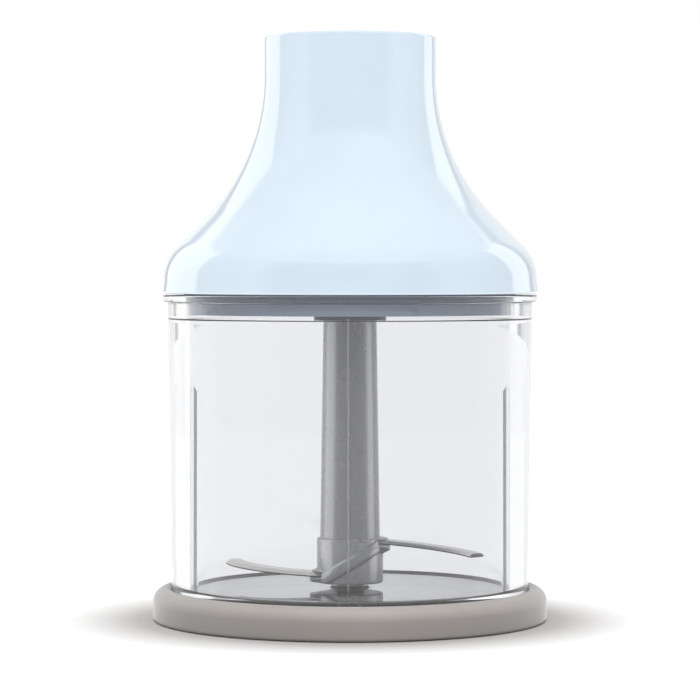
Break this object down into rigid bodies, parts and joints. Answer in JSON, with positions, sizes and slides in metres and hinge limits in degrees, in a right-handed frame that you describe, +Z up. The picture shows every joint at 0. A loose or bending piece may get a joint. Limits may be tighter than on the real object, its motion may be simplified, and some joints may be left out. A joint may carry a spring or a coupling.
{
  "type": "food processor",
  "caption": "Small food processor: clear bowl with sickle blades on a pin, geared bell-shaped lid that takes a hand blender's motor body, and a soft non-slip base.",
  "frame": {"origin": "centre of the base's underside, on the worktop", "axes": "+Z up along the common axis of bowl, blades, gears and neck; +X toward the upper blade; the front looks along -Y"},
  "size_m": [0.12, 0.12, 0.177],
  "materials": {
    "lid_blue": "high gloss",
    "plug_blue": "satin",
    "clear_bowl": "clear, polished",
    "hub_grey": "satin",
    "liner_grey": "fine matte",
    "drive_grey": "satin",
    "gear_plastic": "satin, self-lubricating",
    "blade_steel": "ground satin",
    "plain_steel": "turned",
    "bronze": "sintered",
    "seal_grey": "matte silicone",
    "seal_black": "matte",
    "base_grey": "soft matte"
  },
  "bodies": {
    "base": {"nonslip_base": "base_grey"},
    "bowl": {"bowl": "clear_bowl", "pivot_pin": "plain_steel"},
    "bearing": {"hub_bearing": "drive_grey"},
    "blade_unit": {"blade_hub": "hub_grey", "drive_insert": "drive_grey", "upper_blade": "blade_steel", "lower_blade": "blade_steel"},
    "lid": {"lid_housing": "lid_blue", "neck_sleeve": "liner_grey", "gearbox_housing": "gear_plastic", "ring_gear": "drive_grey", "input_bushing": "bronze", "output_bushing": "drive_grey", "shaft_seal": "seal_black", "thrust_washer": "gear_plastic", "lid_plug": "plug_blue", "lid_gasket": "seal_grey", "plug_screws": "plain_steel", "gearbox_screws": "plain_steel"},
    "carrier": {"planet_carrier": "drive_grey", "carrier_cap": "drive_grey", "planet_pins": "plain_steel", "output_coupler": "drive_grey"},
    "input_drive": {"input_shaft": "plain_steel", "input_coupling": "drive_grey", "sun_gear": "plain_steel", "shaft_clip": "plain_steel"},
    "planet_1": {"planet_gear_1": "gear_plastic"},
    "planet_2": {"planet_gear_2": "gear_plastic"},
    "planet_3": {"planet_gear_3": "gear_plastic"}
  },
  "joints": [
    {"name": "bowl_lift", "type": "slide", "parent": "base", "child": "bowl", "axis": [0, 0, 1], "range_m": [0, 0.02]},
    {"name": "lid_lift", "type": "slide", "parent": "bowl", "child": "lid", "axis": [0, 0, 1], "range_m": [0, 0.19]},
    {"name": "blade_lift", "type": "slide", "parent": "bowl", "child": "bearing", "axis": [0, 0, 1], "range_m": [0, 0.095]},
    {"name": "blade_spin", "type": "hinge", "parent": "bearing", "child": "blade_unit", "pos_m": [0, 0, 0.05], "axis": [0, 0, 1], "continuous": true},
    {"name": "carrier_spin", "type": "hinge", "parent": "lid", "child": "carrier", "pos_m": [0, 0, 0.11], "axis": [0, 0, 1], "continuous": true},
    {"name": "input_spin", "type": "hinge", "parent": "lid", "child": "input_drive", "pos_m": [0, 0, 0.13], "axis": [0, 0, 1], "continuous": true},
    {"name": "planet_spin_1", "type": "hinge", "parent": "carrier", "child": "planet_1", "pos_m": [0.0135, 0, 0.1164], "axis": [0, 0, 1], "continuous": true},
    {"name": "planet_spin_2", "type": "hinge", "parent": "carrier", "child": "planet_2", "pos_m": [-0.00675, 0.01169, 0.1164], "axis": [0, 0, 1], "continuous": true},
    {"name": "planet_spin_3", "type": "hinge", "parent": "carrier", "child": "planet_3", "pos_m": [-0.00675, -0.01169, 0.1164], "axis": [0, 0, 1], "continuous": true}
  ],
  "couplings": [
    {"joint": "blade_lift", "follows": "lid_lift", "ratio": 0.5},
    {"joint": "carrier_spin", "follows": "blade_spin", "ratio": 1},
    {"joint": "input_spin", "follows": "blade_spin", "ratio": 4.5},
    {"joint": "planet_spin_1", "follows": "blade_spin", "ratio": -2.8},
    {"joint": "planet_spin_2", "follows": "blade_spin", "ratio": -2.8},
    {"joint": "planet_spin_3", "follows": "blade_spin", "ratio": -2.8}
  ]
}
